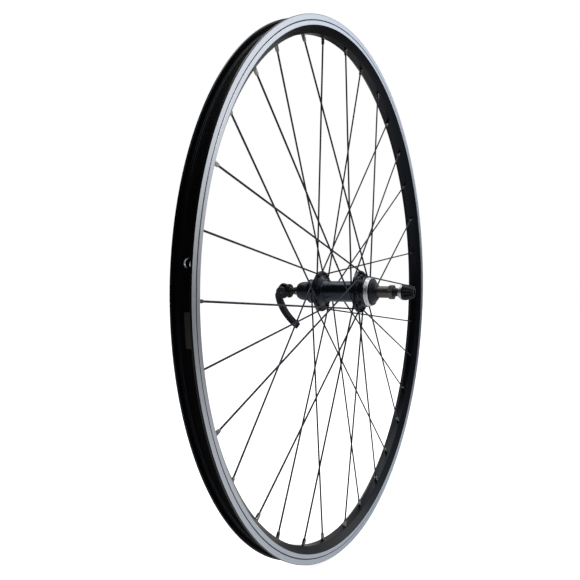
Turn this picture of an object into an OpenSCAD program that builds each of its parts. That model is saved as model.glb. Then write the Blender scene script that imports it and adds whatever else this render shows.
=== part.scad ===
// Quick-release rear bicycle wheel: rim, spokes, thread-on hub, axle and skewer.
// Millimetres. The origin is the wheel's centre: the hub's axis crosses the rim's centre
// plane there. +Z is up and the axle lies along Y. Lengths along the axle are given as s,
// measured from the rim's centre plane towards the freewheel side, which is -Y.
// Angles around the wheel start at +Z and grow towards +X.

/* [Rim] */
// Outer radius of the rim
rim_r = 317; // [316:0.5:318]
// Radius of the inner face, where the nipples come out
rim_inner_r = 299; // [298.5:0.25:299.5]
// Width over the two brake tracks
rim_w = 21.8; // [21.4:0.1:22.2]
// Inner edge of the brake tracks
track_r = 306; // [305.5:0.25:306.5]
// Radius of the valve hole, for a Schrader valve
valve_hole_r = 4.25; // [4.1:0.05:4.4]

/* [Spokes] */
// Number of spokes
spoke_count = 32; // [32]
// Angle of the first nipple
first_angle = -24.48; // [-30:0.01:-19]
// Angle along the flange from a nipple to its spoke's hole, for three crossings
lacing_angle = 67.5; // [67.5]
// Spoke diameter
spoke_d = 2; // [1.8:0.1:2]
// Sideways step of the nipple holes from the rim's centre plane
nipple_step = 1.4; // [1:0.1:1.8]

/* [Hub] */
// Radius of the circle of spoke holes in each flange
flange_hole_r = 22.5; // [22:0.1:23]
// Centre plane of the drive-side flange
flange_drive_s = 22; // [21.5:0.1:22.5]
// Centre plane of the left flange
flange_left_s = -30.6; // [-31:0.1:-30]
// Radius of the freewheel thread, 1.375 inch by 24 threads per inch
thread_r = 17.4; // [17.3:0.05:17.45]
// Distance over the two locknuts
over_locknuts = 130; // [130]

/* [Bearings] */
// Ball diameter, a quarter inch
ball_d = 6.35; // [6.35]
// Radius of the circle of ball centres
ball_circle_r = 9.9; // [9.8:0.05:10]
// Balls in each bearing
ball_count = 9; // [9]

/* [Quick release] */
// Distance from the rim's centre plane to the lever's pivot
pivot_s = -88; // [-88.4:0.1:-87.6]
// How far the cam's centre is from its pivot
cam_offset = 1; // [0.8:0.1:1.2]
// Lever length from the pivot to the tip
lever_length = 59; // [57:0.5:61]
// Direction that the closed lever points, around the axle
lever_angle = 146; // [140:1:150]
// Lever width at the head
lever_w = 11.8; // [11.2:0.1:12.4]

/* [Hidden] */
$fn = 64;

eps = 0.05;                            // fit between pieces of one body
gap = 0.4;                             // room between pieces that move past each other
spoke_r = spoke_d / 2;
spoke_step = 360 / spoke_count;
valve_angle = first_angle + 26.5 * spoke_step;

// Rim section
half_w = rim_w / 2;
wall = 1.6;                            // brake wall and side wall
bed_r = 308.4;                         // floor of the tyre well
bead_seat_r = 311;
bed_under_r = 306.6;
inner_wall = 2.2;
cavity_r = rim_inner_r + inner_wall;
seat_r = rim_inner_r + inner_wall / 2; // middle of the inner wall
groove_r = 310.8;                      // wear groove in the brake track
groove_w = 1;
groove_depth = 0.35;
nipple_hole_r = 2.3;
access_hole_r = 4.2;
tape_t = 0.8;
sleeve_half_angle = 4.4;
label_s = -2.4;
label_w = 6.4;
label_t = 0.25;
label_angle = 5.4;
label_room = 7.2;                      // from the valve hole round to the label

// Spokes and nipples
nipple_r = 2;
nipple_head_r = 2.7;
nipple_reach = 8.6;                    // from the middle of the rim's inner wall
elbow_room = spoke_r + 0.85;           // from the flange's face to the middle of an elbow

// Hub
flange_t = 3.5;
flange_r = 25.9;
hub_bore_r = 7;
cup_r = 14.2;
drive_end_s = 37.4;
left_end_s = -45;
thread_start_s = 31.6;
drive_race_s = 33;
left_race_s = -40.6;
race_r = ball_d / 2 + 0.1;

// Axle set
axle_r = 5;
axle_half = 70.5;
rod_r = 2.5;
end_s = over_locknuts / 2;
cone_r = 8.4;
cone_drive_length = 9;
cone_left_length = 9.4;
washer_t = 1.2;
washer_drive_s = drive_race_s + cone_drive_length;
washer_left_s = left_race_s - cone_left_length;
locknut_t = 5;
locknut_left_t = 6.4;
locknut_corner_r = 9.3;
collar_t = 2.6;                        // round end of the left locknut
spacer_r = 7.15;
flats = 15;                            // across the flats of the cones
hex_flats = 17;                        // across the flats of the locknuts

// Quick release
cam_r = 8.6;
pin_r = 2.45;
eye_r = 4.2;
eye_w = 5;
slot_w = eye_w + 0.6;
cam_top_s = pivot_s + cam_offset + cam_r;  // the cam's face towards the wheel
washer_floor_s = cam_top_s + gap;
washer_curve_r = 14;
cup_r_out = 9.1;
cup_s = -76;
nut_s = 74.5;
nut_end_s = 90;
nut_r = 9.4;
nut_face_t = 1.5;
insert_r = 4;
insert_s = 85.4;
arm_curve_r = 62;                      // radius of the lever's curve
arm_curve_u = 17;                      // where along the lever the curve bulges most
arm_bulge = 9.7;                      // how far the curve bulges past the pivot
arm_steps = 14;
wire_d = 0.9;                          // of both springs

// Turns a profile of [radius, s] points around the axle
module turned() rotate([90, 0, 0]) rotate_extrude($fn = 96) children();
// The same at the rim, where the curve needs a finer mesh
module turned_rim(angle = 360) rotate([90, 0, 0]) rotate_extrude(angle = angle, $fn = 256) children();
module ring(r_in, r_out, s0, s1) turned() translate([r_in, s0]) square([r_out - r_in, s1 - s0]);
// Moves a child that stands on the origin along Z to the place s, standing towards +s
module at_s(s) translate([0, -s, 0]) rotate([90, 0, 0]) children();
// A point on the wheel at a radius, a place along the axle and an angle
function spot(r, s, t) = [r * sin(t), -s, r * cos(t)];
// Puts a child that stands on the origin along Z at a, pointing to b
module along(a, b) {
    d = b - a;
    translate(a) rotate([0, acos(d.z / norm(d)), atan2(d.y, d.x)]) children();
}
function flip(points) = [for (i = [len(points) - 1:-1:0]) [points[i].x, -points[i].y]];
function both_sides(points) = concat(points, flip(points));

// Lacing: spokes go in fours, drive outer, left inner, drive inner, left outer
function on_drive(i) = i % 2 == 0;
function lace_sign(i) = (i % 4 == 0 || i % 4 == 3) ? 1 : -1;
function is_outer(i) = lace_sign(i) > 0;
function spoke_angle(i) = first_angle + i * spoke_step;
function hub_angle(i) = spoke_angle(i) + lace_sign(i) * lacing_angle;
function away(i) = on_drive(i) ? 1 : -1;
function flange_s(i) = on_drive(i) ? flange_drive_s : flange_left_s;
// +1 when the spoke's elbow is on the drive-side face of its flange
function elbow_sign(i) = away(i) * (is_outer(i) ? 1 : -1);
function elbow_s(i) = flange_s(i) + elbow_sign(i) * (flange_t / 2 + elbow_room);
function elbow(i) = spot(flange_hole_r, elbow_s(i), hub_angle(i));
function seat(i) = spot(seat_r, away(i) * nipple_step, spoke_angle(i));

// ---------------------------------------------------------------- wheel
function rim_outline() = [
    [rim_inner_r, 4], [rim_inner_r + 0.5, 4.9], [rim_inner_r + 2, 6.3],
    [rim_inner_r + 4, 8.1], [rim_inner_r + 6, 9.8], [track_r - 0.3, 10.5],
    [track_r, half_w - 0.15], [track_r + 0.15, half_w],
    [groove_r - groove_w / 2, half_w], [groove_r - groove_w / 2 + 0.2, half_w - groove_depth],
    [groove_r + groove_w / 2 - 0.2, half_w - groove_depth], [groove_r + groove_w / 2, half_w],
    [rim_r - 0.5, half_w], [rim_r, half_w - 0.5], [rim_r, half_w - 1.5],
    [rim_r - 0.6, half_w - 2.2], [rim_r - 1.8, half_w - 2.2], [rim_r - 2.6, half_w - wall],
    [bead_seat_r + 0.5, half_w - wall], [bead_seat_r, half_w - wall - 0.4],
    [bead_seat_r, 7.2], [bed_r, 5.8]];
function cavity_outline(g) = [
    [cavity_r + g, 3.9 - g], [cavity_r + 0.5 + g, 4.5 - g], [cavity_r + 4, 7.8 - g],
    [bed_under_r - 0.6, 8.4 - g], [bed_under_r - g, 7.9 - g]];

module rim() {
    color("#26282b") difference() {
        turned_rim() difference() {
            polygon(both_sides(rim_outline()));
            polygon(both_sides(cavity_outline(0)));
        }
        for (i = [0:spoke_count - 1]) {
            along(seat(i), elbow(i)) translate([0, 0, -2.2]) cylinder(r = nipple_hole_r, h = 5);
            along(spot(cavity_r + 3, away(i) * nipple_step, spoke_angle(i)),
                  spot(rim_r, away(i) * nipple_step, spoke_angle(i))) cylinder(r = access_hole_r, h = 9);
        }
        along(spot(rim_inner_r - 3, 0, valve_angle), spot(rim_r, 0, valve_angle))
            cylinder(r = valve_hole_r, h = 16);
    }
}

// Fills the rim's hollow at the seam, across from the valve hole
module rim_joint_sleeve() {
    color("#9da1a6") rotate([0, valve_angle + 90 + sleeve_half_angle, 0])
        turned_rim(2 * sleeve_half_angle) polygon(both_sides(cavity_outline(eps)));
}

module rim_tape() {
    low = bed_r + eps;
    color("#1b1b1c") difference() {
        turned_rim() polygon(both_sides([[low, 5.7], [low + 1.95, 6.6], [low + 1.95 + tape_t, 6.3],
                                         [low + tape_t, 5.3]]));
        along(spot(bed_r - 2, 0, valve_angle), spot(rim_r, 0, valve_angle))
            cylinder(r = valve_hole_r + 0.3, h = 6);
    }
}

module rim_label() {
    color("#4a4632") rotate([0, valve_angle - 90 - label_room, 0]) turned_rim(label_angle)
        translate([bed_r + eps + tape_t + 0.02, label_s]) square([label_t, label_w]);
}

// Nipple: its origin is in the middle of the rim's inner wall, +Z towards the tyre
module nipple() {
    difference() {
        union() {
            translate([0, 0, -3.6]) cylinder(r = nipple_r, h = 6);
            intersection() {
                translate([0, 0, -nipple_reach]) cylinder(r1 = nipple_r - 0.35, r2 = nipple_r + 0.9, h = 7);
                translate([-1.65, -1.65, -nipple_reach]) cube([3.3, 3.3, 7]);
                translate([0, 0, -nipple_reach]) cylinder(r = nipple_r, h = 7);
            }
            translate([0, 0, 1.6]) cylinder(r = nipple_head_r, h = 1.4);
            translate([0, 0, 3]) cylinder(r1 = nipple_head_r, r2 = nipple_r, h = 0.9);
        }
        translate([0, 0, -nipple_reach - 1]) cylinder(r = spoke_r + 0.08, h = nipple_reach + 6);
    }
}
module nipples() {
    color("#c9ccd0") for (i = [0:spoke_count - 1])
        along(seat(i), 2 * seat(i) - elbow(i)) nipple();
}

// A straight spoke with its elbow and its head through the flange
module spoke(i) {
    root = elbow(i);
    tip = seat(i);
    head_s = flange_s(i) - elbow_sign(i) * (flange_t / 2 + eps);
    along(root, tip) cylinder(r = spoke_r, h = norm(tip - root) + 3);
    translate(root) sphere(r = spoke_r + 0.1);
    along(root, spot(flange_hole_r, head_s, hub_angle(i))) {
        reach = abs(head_s - elbow_s(i));
        cylinder(r = spoke_r, h = reach + 0.2);
        translate([0, 0, reach]) cylinder(r = 2, h = 0.7);
        translate([0, 0, reach + 0.7]) cylinder(r1 = 2, r2 = 1.3, h = 0.5);
    }
}
module spoke_set(first) color("#34373c") for (i = [first:4:spoke_count - 1]) spoke(i);
module spokes_drive_outer() spoke_set(0);
module spokes_left_inner() spoke_set(1);
module spokes_drive_inner() spoke_set(2);
module spokes_left_outer() spoke_set(3);

// Outline of a flange with rounded edges and a fillet down to the barrel on each side
function flange_outline(s, low_r0, low_r1) = [
    [low_r0, s - flange_t / 2 - 3.4], [low_r0 + 1.6, s - flange_t / 2 - 1.6], [19.6, s - flange_t / 2],
    [flange_r - 0.9, s - flange_t / 2], [flange_r - 0.25, s - flange_t / 2 + 0.25],
    [flange_r, s - flange_t / 2 + 0.9], [flange_r, s + flange_t / 2 - 0.9],
    [flange_r - 0.25, s + flange_t / 2 - 0.25], [flange_r - 0.9, s + flange_t / 2],
    [19.6, s + flange_t / 2], [low_r1 + 1.6, s + flange_t / 2 + 1.6], [low_r1, s + flange_t / 2 + 3.4]];
module hub_shell() {
    color("#2b2d31") difference() {
        turned() difference() {
            polygon(concat(
                [[hub_bore_r, left_end_s], [14.7, left_end_s], [15.1, left_end_s + 0.5], [15.1, -37.5]],
                flange_outline(flange_left_s, 16, 14.4), [[13.1, -22.5], [13, -19], [13, 11], [13.2, 14]],
                flange_outline(flange_drive_s, 14.6, 18.8),
                [[18.8, thread_start_s - 0.6], [18.4, thread_start_s], [thread_r, thread_start_s],
                 [thread_r, drive_end_s - 0.6], [thread_r - 0.6, drive_end_s], [hub_bore_r, drive_end_s]]));
            translate([0, drive_race_s - 4.5]) square([cup_r + eps, 20]);
            translate([0, left_race_s + 4.5 - 20]) square([cup_r + eps, 20]);
        }
        for (s = [flange_drive_s, flange_left_s], j = [0:spoke_count / 2 - 1])
            along(spot(flange_hole_r, s - 4, flange_phase(s) + j * 2 * spoke_step),
                  spot(flange_hole_r, s + 4, flange_phase(s) + j * 2 * spoke_step))
                cylinder(r = spoke_r + 0.3, h = 8);
    }
}
function flange_phase(s) = s > 0 ? hub_angle(0) : hub_angle(1);

// Bearing pieces are drawn for a race at s = 0 whose open side faces +s
module race_side(side) {
    s = side > 0 ? drive_race_s : left_race_s;
    translate([0, -s, 0]) scale_side(side) children();
}
module scale_side(side) {
    if (side > 0) children();
    else mirror([0, 1, 0]) children();
}
module bearing_cup(side) {
    color("#8f949a") race_side(side) turned() difference() {
        polygon([[8.4, -4.4], [cup_r, -4.4], [cup_r, 3.4], [13.3, 3.4], [13.3, 2.4], [8.4, -2.9]]);
        translate([ball_circle_r, 0]) circle(r = race_r);
    }
}
module bearing_cup_drive() bearing_cup(1);
module bearing_cup_left() bearing_cup(-1);
module balls(side) {
    color("#d5d8dc") race_side(side) for (i = [0:ball_count - 1])
        translate(spot(ball_circle_r, 0, i * 360 / ball_count)) sphere(d = ball_d);
}
module balls_drive() balls(1);
module balls_left() balls(-1);
module ball_cage(side) {
    color("#b08d4a") race_side(side) difference() {
        ring(10.7, 12.9, 2.55, 3.2);
        for (i = [0:ball_count - 1])
            translate(spot(ball_circle_r, 0, i * 360 / ball_count)) sphere(r = race_r);
    }
}
module ball_cage_drive() ball_cage(1);
module ball_cage_left() ball_cage(-1);
module dust_cap_drive() {
    color("#3a3c40") ring(10.9, cup_r, drive_race_s + 3.45, drive_race_s + 4.1);
}
module dust_cap_left() {
    s = left_end_s - eps;
    color("#1d1e20") turned()
        polygon([[10.9, s], [10.9, s - 1.3], [14.9, s - 1.6], [15.4, s - 1.1], [15.4, s]]);
}

// ---------------------------------------------------------------- axle set
module axle() {
    color("#3a3b3d") turned() polygon([
        [rod_r + 0.1, -axle_half], [axle_r - 0.5, -axle_half], [axle_r, -axle_half + 0.5],
        [axle_r, axle_half - 0.5], [axle_r - 0.5, axle_half], [rod_r + 0.1, axle_half]]);
}
module cone(side, length) {
    color("#7d8085") race_side(side) difference() {
        turned() difference() {
            polygon([[axle_r + eps, -3], [6.4, -3], [10.2, 2.2], [10.2, 4.6], [cone_r, 4.6],
                     [cone_r, length], [axle_r + eps, length]]);
            translate([ball_circle_r, 0]) circle(r = race_r);
        }
        for (x = [-1, 1]) translate([x * (flats / 2 + 2) - 2, -length - 1, -12])
            cube([4, length - 5, 24]);
    }
}
module cone_drive() cone(1, cone_drive_length);
module cone_left() cone(-1, cone_left_length);
module lock_washer_drive()
    color("#a3a6aa") ring(axle_r + eps, 7.9, washer_drive_s, washer_drive_s + washer_t);
module lock_washer_left()
    color("#a3a6aa") ring(axle_r + eps, 7.9, washer_left_s - washer_t, washer_left_s);
module axle_spacer_drive() {
    color("#4c4944") ring(axle_r + eps, spacer_r, washer_drive_s + washer_t, end_s - locknut_t);
}
module axle_spacer_left() {
    color("#4c4944") ring(axle_r + eps, 8.2, -end_s + locknut_left_t, washer_left_s - washer_t);
}
// A hexagon nut with chamfered corners, from s0 to s1
module hex_nut(s0, s1, corner_r) difference() {
    intersection() {
        at_s(s0) cylinder(d = hex_flats / cos(30), h = s1 - s0, $fn = 6);
        turned() polygon([[0, s0], [corner_r - 0.8, s0], [corner_r, s0 + 0.7], [corner_r, s1 - 0.7],
                          [corner_r - 0.8, s1], [0, s1]]);
    }
    at_s(s0 - 1) cylinder(r = axle_r + eps, h = s1 - s0 + 2);
}
module locknut_drive() color("#4a4d4b") hex_nut(end_s - locknut_t, end_s, locknut_corner_r);
module locknut_left() {
    color("#8b8e90") union() {
        hex_nut(-end_s + collar_t, -end_s + locknut_left_t, locknut_corner_r);
        ring(axle_r + eps, 7.5, -end_s, -end_s + collar_t + 0.2);
    }
}
// Conical seal against the threaded end of the hub; it stays still on the spacer
module hub_seal_drive() {
    face = drive_end_s + 0.6;
    step = washer_drive_s + washer_t;
    color("#17181a") turned() polygon([
        [cone_r + eps, face + 0.6], [12.4, face + 0.4], [12.8, face], [16, face], [16.3, face + 0.3],
        [16.3, face + 1], [15.9, face + 1.5], [10.2, step + 0.6], [8.9, step + 1.5], [spacer_r + 0.6, step + 1.9],
        [spacer_r + eps, step + 1.5], [spacer_r + eps, step + 0.1], [cone_r + eps, step + 0.1]]);
}
// Domed boot over the left cone and locknut
module rubber_boot_left() {
    in_s = left_end_s - 2.4;
    dome_s = -53.4;
    tip_r = 7.6;
    color("#202124") turned() polygon(concat(
        [[10.4, in_s], [11.7, in_s], [12.1, in_s - 0.5]],
        [for (a = [0:10:90]) [tip_r + 4.5 * cos(a), dome_s - 10.6 * sin(a)]],
        [[tip_r, -end_s + collar_t - 0.2], [locknut_corner_r + 0.15, -end_s + collar_t - 0.1],
         [9.9, -end_s + collar_t + 0.8], [9.9, in_s - 4.6], [10.4, in_s - 4]]));
}

// ---------------------------------------------------------------- quick release
// The lever's own frame: x along the pin, z along the closed arm, y away from the wheel
module at_pivot() translate([0, -pivot_s, 0]) rotate([0, lever_angle, 0]) children();
// A cylinder along the pin, centred on y, z in the lever's frame
module pin_wise(y, r, w) translate([-w / 2, y, 0]) rotate([0, 90, 0]) cylinder(r = r, h = w);

module skewer_rod() {
    color("#b9bcc0") difference() {
        union() {
            at_s(pivot_s) cylinder(r = rod_r, h = nut_end_s - 1.6 - pivot_s);
            at_pivot() pin_wise(0, eye_r, eye_w);
        }
        at_pivot() pin_wise(0, pin_r + eps, eye_w + 2);
    }
}
// A round wire wound from [r0, s0] to [r1, s1]
module spring(r0, s0, r1, s1, turns) {
    sides = 8;
    steps = 20 * turns;
    rings = [for (i = [0:steps]) let (f = i / steps, a = 360 * turns * f, r = r0 + (r1 - r0) * f,
                                      s = s0 + (s1 - s0) * f)
        for (j = [0:sides - 1]) let (b = 360 * j / sides)
            spot(r + wire_d / 2 * cos(b), s + wire_d / 2 * sin(b), a)];
    ends = [[for (j = [0:sides - 1]) j], [for (j = [sides - 1:-1:0]) steps * sides + j]];
    walls = [for (i = [0:steps - 1], j = [0:sides - 1]) let (k = (j + 1) % sides)
        [i * sides + j, (i + 1) * sides + j, (i + 1) * sides + k, i * sides + k]];
    polyhedron(points = rings, faces = concat(ends, walls));
}
module spring_left() color("#b9c2c8") spring(5.6, cup_s + 1, 3.5, -axle_half - 0.8, 4);

// The arm's half thickness where it is u along the lever
function arm_half_t(u) = 2.9 - 0.8 * u / lever_length;
function arm_y(u) = arm_bulge - arm_curve_r + sqrt(pow(arm_curve_r, 2) - pow(u - arm_curve_u, 2));
function arm_side(m) = [for (i = [0:arm_steps]) let (u = 2 + (lever_length - 2) * i / arm_steps)
    [arm_y(u) + m * arm_half_t(u), u]];
module lever() {
    tip_w = 10.4;
    color("#1c1d20") at_pivot() difference() {
        union() {
            pin_wise(-cam_offset, cam_r, lever_w);
            intersection() {
                translate([-lever_w / 2, 0, 0]) rotate([90, 0, 90]) linear_extrude(lever_w)
                    polygon(concat(arm_side(1), [for (i = [arm_steps:-1:0]) arm_side(-1)[i]]));
                translate([0, 40, 0]) rotate([90, 0, 0]) linear_extrude(80)
                    polygon([[-lever_w / 2, 0], [lever_w / 2, 0], [tip_w / 2, lever_length - 1],
                             [tip_w / 2 - 1, lever_length + 1], [1 - tip_w / 2, lever_length + 1],
                             [-tip_w / 2, lever_length - 1]]);
            }
        }
        translate([-slot_w / 2, -20, -20]) cube([slot_w, 40, 20 + rod_r + gap]);
        pin_wise(0, eye_r + gap, slot_w);
        pin_wise(0, pin_r + eps, lever_w + 4);
    }
}
module cam_pin() color("#8f9398") at_pivot() pin_wise(0, pin_r, lever_w - 0.6);

// The hollow that the cam rolls in, cut along the pin
module cam_hollow(extra) translate([0, -washer_floor_s, 0]) rotate([0, lever_angle, 0])
    translate([-15, washer_curve_r, 0]) rotate([0, 90, 0]) cylinder(r = washer_curve_r + extra, h = 30);
module cam_washer() {
    color("#2a2a2c") difference() {
        ring(rod_r + 0.4, 7.5, washer_floor_s - 1.8, washer_floor_s + 0.6);
        cam_hollow(0);
    }
}
module lever_cup() {
    color("#202124") difference() {
        turned() polygon([
            [rod_r + 0.4, cup_s - 0.8], [8.8, cup_s - 0.8], [cup_r_out, cup_s - 1.1],
            [cup_r_out, -79.4], [8.7, -79.8], [7.6, -79.8], [7.6, washer_floor_s + 0.65],
            [rod_r + 0.4, washer_floor_s + 0.65]]);
        cam_hollow(0.1);
    }
}
// A ring whose face bites the frame, with radial teeth on the side towards s0
module toothed_ring(s0, s1, r_out) {
    inward = sign(s1 - s0);
    difference() {
        ring(rod_r + 0.4, r_out, min(s0, s1), max(s0, s1));
        for (i = [0:17]) rotate([0, i * 20, 0]) translate([-0.35, -s0 - 0.3, 6])
            cube([0.7, 0.6, 4]);
    }
}
module cup_face() color("#a9adb2") toothed_ring(cup_s, cup_s - 0.78, 8.6);

module spring_drive() color("#b9c2c8") spring(5.4, axle_half + 0.9, 8, nut_s - 0.8, 3);
module nut_face() color("#a9adb2") toothed_ring(nut_s, nut_s + nut_face_t, 9);
module nut_body() {
    body_s = nut_s + nut_face_t + 0.02;
    color("#1b1c1e") difference() {
        turned() polygon([
            [rod_r + eps, body_s], [9, body_s], [nut_r, body_s + 0.4], [nut_r, body_s + 4.4],
            [9, body_s + 6], [6.5, nut_end_s - 0.7], [5.8, nut_end_s], [insert_r, nut_end_s],
            [insert_r, insert_s], [rod_r + eps, insert_s]]);
        for (i = [0:7]) rotate([0, i * 45, 0]) translate([0, -body_s - 2, nut_r + 0.9])
            rotate([90, 0, 0]) cylinder(r = 2.1, h = 20);
    }
}
module nut_insert() color("#d8d6cc") ring(rod_r + 0.03, insert_r - 0.02, insert_s + 0.02, insert_s + 3);

rim();
rim_joint_sleeve();
rim_tape();
rim_label();
nipples();
spokes_drive_outer();
spokes_drive_inner();
spokes_left_outer();
spokes_left_inner();
hub_shell();
bearing_cup_drive();
bearing_cup_left();
dust_cap_drive();
dust_cap_left();
balls_drive();
ball_cage_drive();
balls_left();
ball_cage_left();
axle();
cone_drive();
cone_left();
lock_washer_drive();
lock_washer_left();
axle_spacer_drive();
axle_spacer_left();
locknut_drive();
locknut_left();
hub_seal_drive();
rubber_boot_left();
skewer_rod();
spring_left();
lever();
cam_pin();
cam_washer();
lever_cup();
cup_face();
spring_drive();
nut_body();
nut_face();
nut_insert();
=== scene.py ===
"""A quick-release rear bicycle wheel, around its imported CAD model.

The CAD pieces are the frame. This script adds the fine shapes that the CAD leaves plain (threads,
flutes, fillets, the forged lever, the springs), every material, the lights and the camera. Helpers
take millimetres; Blender's objects are in metres. s runs along the axle from the rim's centre plane
towards the freewheel side, which is -Y, and t is an angle around the axle in degrees, from +Z
towards +X.
"""
import math

import bmesh
import bpy
from mathutils import Matrix, Vector


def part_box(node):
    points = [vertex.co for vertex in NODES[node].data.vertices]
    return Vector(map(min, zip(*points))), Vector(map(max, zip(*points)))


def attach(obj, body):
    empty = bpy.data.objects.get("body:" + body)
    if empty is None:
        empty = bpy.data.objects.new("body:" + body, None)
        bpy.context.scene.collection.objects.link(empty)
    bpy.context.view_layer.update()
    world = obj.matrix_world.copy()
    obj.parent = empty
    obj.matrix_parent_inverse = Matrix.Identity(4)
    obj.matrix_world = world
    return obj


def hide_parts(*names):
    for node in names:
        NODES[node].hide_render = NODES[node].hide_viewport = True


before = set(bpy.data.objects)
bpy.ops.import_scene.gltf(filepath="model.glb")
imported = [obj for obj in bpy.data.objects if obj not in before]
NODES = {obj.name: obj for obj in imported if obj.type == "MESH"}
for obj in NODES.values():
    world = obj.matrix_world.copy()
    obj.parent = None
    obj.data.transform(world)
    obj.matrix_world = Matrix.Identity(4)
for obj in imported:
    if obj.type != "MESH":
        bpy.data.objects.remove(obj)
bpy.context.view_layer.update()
MM = 0.001


# ------------------------------------------------------------------ sizes, in millimetres
def extent(node, axis):
    """Lowest and highest value of a CAD node along an axis, in millimetres."""
    low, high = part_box(node)
    return low[axis] / MM, high[axis] / MM


def reach(node):
    """(s at the left end, s at the drive end) of a CAD node."""
    low, high = extent(node, 1)
    return -high, -low


# The rim: radii, and half widths from its centre plane
RIM_R = extent("rim", 0)[1]
HALF_W = extent("rim", 1)[1]
RIM_INNER_R = 299
TRACK_R = 306
WALL = 1.6
BED_R = 308.4
BEAD_SEAT_R = 311
BED_UNDER_R = 306.6
CAVITY_R = RIM_INNER_R + 2.2
SEAT_R = RIM_INNER_R + 1.1
INNER_HALF_W = 4.4
FLANK_HALF_W = 7.25
SHOULDER_HALF_W = 10.4
WELL_HALF_W = 5.8
BEAD_SEAT_HALF_W = 7.2
GROOVE_R = 310.8
GROOVE_HALF_W = 0.7
GROOVE_FLOOR = 0.4
GROOVE_DEPTH = 0.45

# The lacing
SPOKES = 32
SPOKE_STEP = 360 / SPOKES
FIRST_ANGLE = -24.48
VALVE_ANGLE = FIRST_ANGLE + 26.5 * SPOKE_STEP
VALVE_HOLE_R = 4.25
LACING = 67.5
NIPPLE_STEP = 1.4
NIPPLE_HOLE_R = 2.3

# The tape
TAPE_T = 0.8
TAPE_RISE = 1.95

# The hub, its flanges and its ends
HUB_LEFT_S, HUB_DRIVE_S = reach("hub_shell")
FLANGE_HOLE_R = 22.5
FLANGE_DRIVE_S = 22
FLANGE_LEFT_S = -30.6
FLANGE_T = 3.5
FLANGE_R = 25.9
FLANGE_FOOT_R = 19.6
FLANGE_FOOT = 3.4
BARREL_R = 13
SHOULDER_R = 18.8
HUB_BORE_R = 7
CUP_BORE_R = 14.25
CUP_SEAT_DRIVE_S = 28.5
CUP_SEAT_LEFT_S = -36.1
SPOKE_HOLE_R = 1.3
THREAD_R = 17.4
THREAD_S = 31.6
THREAD_PITCH = 25.4 / 24
THREAD_DEPTH = 0.62

# The axle and what sits on it
AXLE_R = 5
AXLE_HALF = reach("axle")[1]
AXLE_PLAIN_S = 28
AXLE_THREAD_DEPTH = 0.55
ROD_R = 2.5
ROD_THREAD_S = 60
ROD_THREAD_DEPTH = 0.42
ROD_THREAD_PITCH = 0.8
SPACER_R = 7.15
SPACER_RING_PITCH = 1.15
SPACER_RING_DEPTH = 0.13
BOOT_TIP_R = 7.6
BOOT_R = 12.1
BOOT_DOME_S = -53.4
BOOT_DOME_LENGTH = 10.6
SPRING_WIRE_R = 0.45
SPRING_LEFT = ((3.5, -AXLE_HALF - 0.8), (5.6, -75.0), 4)
SPRING_DRIVE = ((5.4, AXLE_HALF + 0.9), (8.0, 73.7), 3)

# The quick release
PIVOT_S = -88
LEVER_ANGLE = 146
LEVER_LENGTH = 59
LEVER_W = 11.8
TIP_W = 10.4
ARM_BULGE = 9.7
ARM_CURVE_R = 62
ARM_CURVE_U = 17
ARM_HALF_T = 2.9
ARM_THINNING = 0.8
ARM_EXTRA_T = 0.9
ARM_ROOT = 4.5
ARM_ROOT_DROP = 1.6
FORK_HALF_W = 2.8
EYE_R = 4.2
CAM_R = 8.6
CAM_OFFSET = 1
PIN_R = 2.45
CUP_R = 9.1
CUP_WELL_R = 7.6
CUP_FLOOR_T = 0.9
NUT_S, NUT_END_S = reach("nut_body")
NUT_R = 9.4
NUT_COLLAR = 4.4
NUT_TAPER = 3.3
NUT_FLUTES = 8
NUT_FLUTE_DEPTH = 1.25

# The studio
ROOM_LEVEL = 0.06
SWEEP_LEVEL = 0.95
SOFT_BOX = (0.79, -0.44, 0.42)
SOFT_BOX_LEVEL = 0.7
FLOOR_GLOW = 0.92
FLOOR_GAP = 0.4
COOL_GLOSS = (0.66, 0.80, 1.0, 1.0)


# ------------------------------------------------------------------ mesh helpers
def spot(r, s, t=0.0):
    """A point on the wheel, in metres."""
    a = math.radians(t)
    return Vector((r * math.sin(a), -s, r * math.cos(a))) * MM


def add_mesh(name, verts, faces):
    mesh = bpy.data.meshes.new(name)
    mesh.from_pydata([tuple(v) for v in verts], [], faces)
    obj = bpy.data.objects.new(name, mesh)
    bpy.context.scene.collection.objects.link(obj)
    return obj


def turn_outward(obj, inward=False):
    """Makes the faces look out of the solid, or into it for a hollow."""
    bm = bmesh.new()
    bm.from_mesh(obj.data)
    bmesh.ops.recalc_face_normals(bm, faces=bm.faces)
    if (bm.calc_volume(signed=True) < 0) != inward:
        bmesh.ops.reverse_faces(bm, faces=bm.faces)
    bm.to_mesh(obj.data)
    bm.free()


def soften(obj, sharp=35):
    """Smooth shading with hard edges where faces meet at more than sharp degrees."""
    bm = bmesh.new()
    bm.from_mesh(obj.data)
    limit = math.radians(sharp)
    for face in bm.faces:
        face.smooth = True
    for edge in bm.edges:
        edge.smooth = len(edge.link_faces) == 2 and edge.calc_face_angle(0) < limit
    bm.to_mesh(obj.data)
    bm.free()


def grid_faces(rows, columns, wrap_rows, wrap_columns):
    faces = []
    for i in range(rows if wrap_rows else rows - 1):
        for j in range(columns if wrap_columns else columns - 1):
            k, m = (i + 1) % rows, (j + 1) % columns
            faces.append((i * columns + j, i * columns + m, k * columns + m, k * columns + j))
    return faces


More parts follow.
